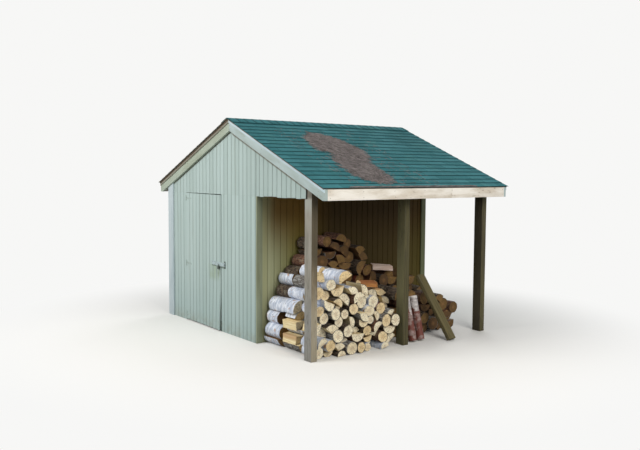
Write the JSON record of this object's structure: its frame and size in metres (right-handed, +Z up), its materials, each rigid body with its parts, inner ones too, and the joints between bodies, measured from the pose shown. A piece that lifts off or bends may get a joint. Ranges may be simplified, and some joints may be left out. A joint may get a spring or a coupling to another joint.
{
  "type": "log store",
  "caption": "Gabled timber log store: a closed shed with a boarded hinged door and, under the same shingled roof, an open side bay on posts filled with stacked firewood.",
  "frame": {"origin": "on the ground, under the ridge and half way along it", "axes": "+X across the gable towards the open firewood bay, +Y along the ridge towards the rear, +Z up; the door is in the -Y gable"},
  "size_m": [4.32, 3.224, 2.9819],
  "materials": {
    "siding_paint": "matt pale grey-green paint on grooved boards",
    "corner_paint": "matt pale blue-white paint",
    "trim_paint": "matt cream paint, a little green with age",
    "fascia_paint": "chalky faded paint",
    "weathered_post": "weathered grey-tan timber",
    "bare_timber": "bare aged softwood",
    "deck_board": "bare aged sheathing",
    "shingle": "teal-green mineral granules on felt",
    "painted_iron": "painted over with the wall colour",
    "dark_iron": "dark, rusty",
    "birch_bark": "white bark with reddish patches",
    "firewood": "split and sawn, tan ends and grey-brown bark"
  },
  "bodies": {
    "root": {"corner_boards": "corner_paint", "front_bargeboards": "trim_paint", "front_gable": "siding_paint", "front_header": "bare_timber", "front_post": "weathered_post", "front_verge_strips": "trim_paint", "front_wall_left": "siding_paint", "front_wall_right": "siding_paint", "hinge_plates": "painted_iron", "latch_staple": "dark_iron", "leaning_birch": "birch_bark", "leaning_plank": "firewood", "left_fascia": "fascia_paint", "left_wall": "siding_paint", "middle_post": "weathered_post", "partition_trim": "siding_paint", "partition_wall": "siding_paint", "rafters": "bare_timber", "rear_bargeboards": "trim_paint", "rear_gable": "siding_paint", "rear_header": "bare_timber", "rear_post": "weathered_post", "rear_verge_strips": "trim_paint", "rear_wall": "siding_paint", "ridge_board": "bare_timber", "ridge_cap": "shingle", "right_fascia": "fascia_paint", "roof_deck_left": "deck_board", "roof_deck_right": "deck_board", "shingles_left": "shingle", "shingles_right": "shingle", "side_beam": "weathered_post", "sole_plates": "bare_timber", "top_plates": "bare_timber", "wall_studs": "bare_timber", "wood_far_row": "firewood", "wood_far_wall_row": "firewood", "wood_middle_row": "firewood", "wood_outer_row": "firewood", "wood_wall_row": "firewood"},
    "door": {"door_leaf": "siding_paint", "door_ledges": "bare_timber", "hinge_straps": "painted_iron", "latch_hasp": "painted_iron", "padlock": "dark_iron"}
  },
  "joints": [
    {"name": "door_hinge", "type": "hinge", "parent": "root", "child": "door", "pos_m": [-1.3315, -1.5505, 0.97], "axis": [0, 0, -1], "range_deg": [0, 110]}
  ]
}
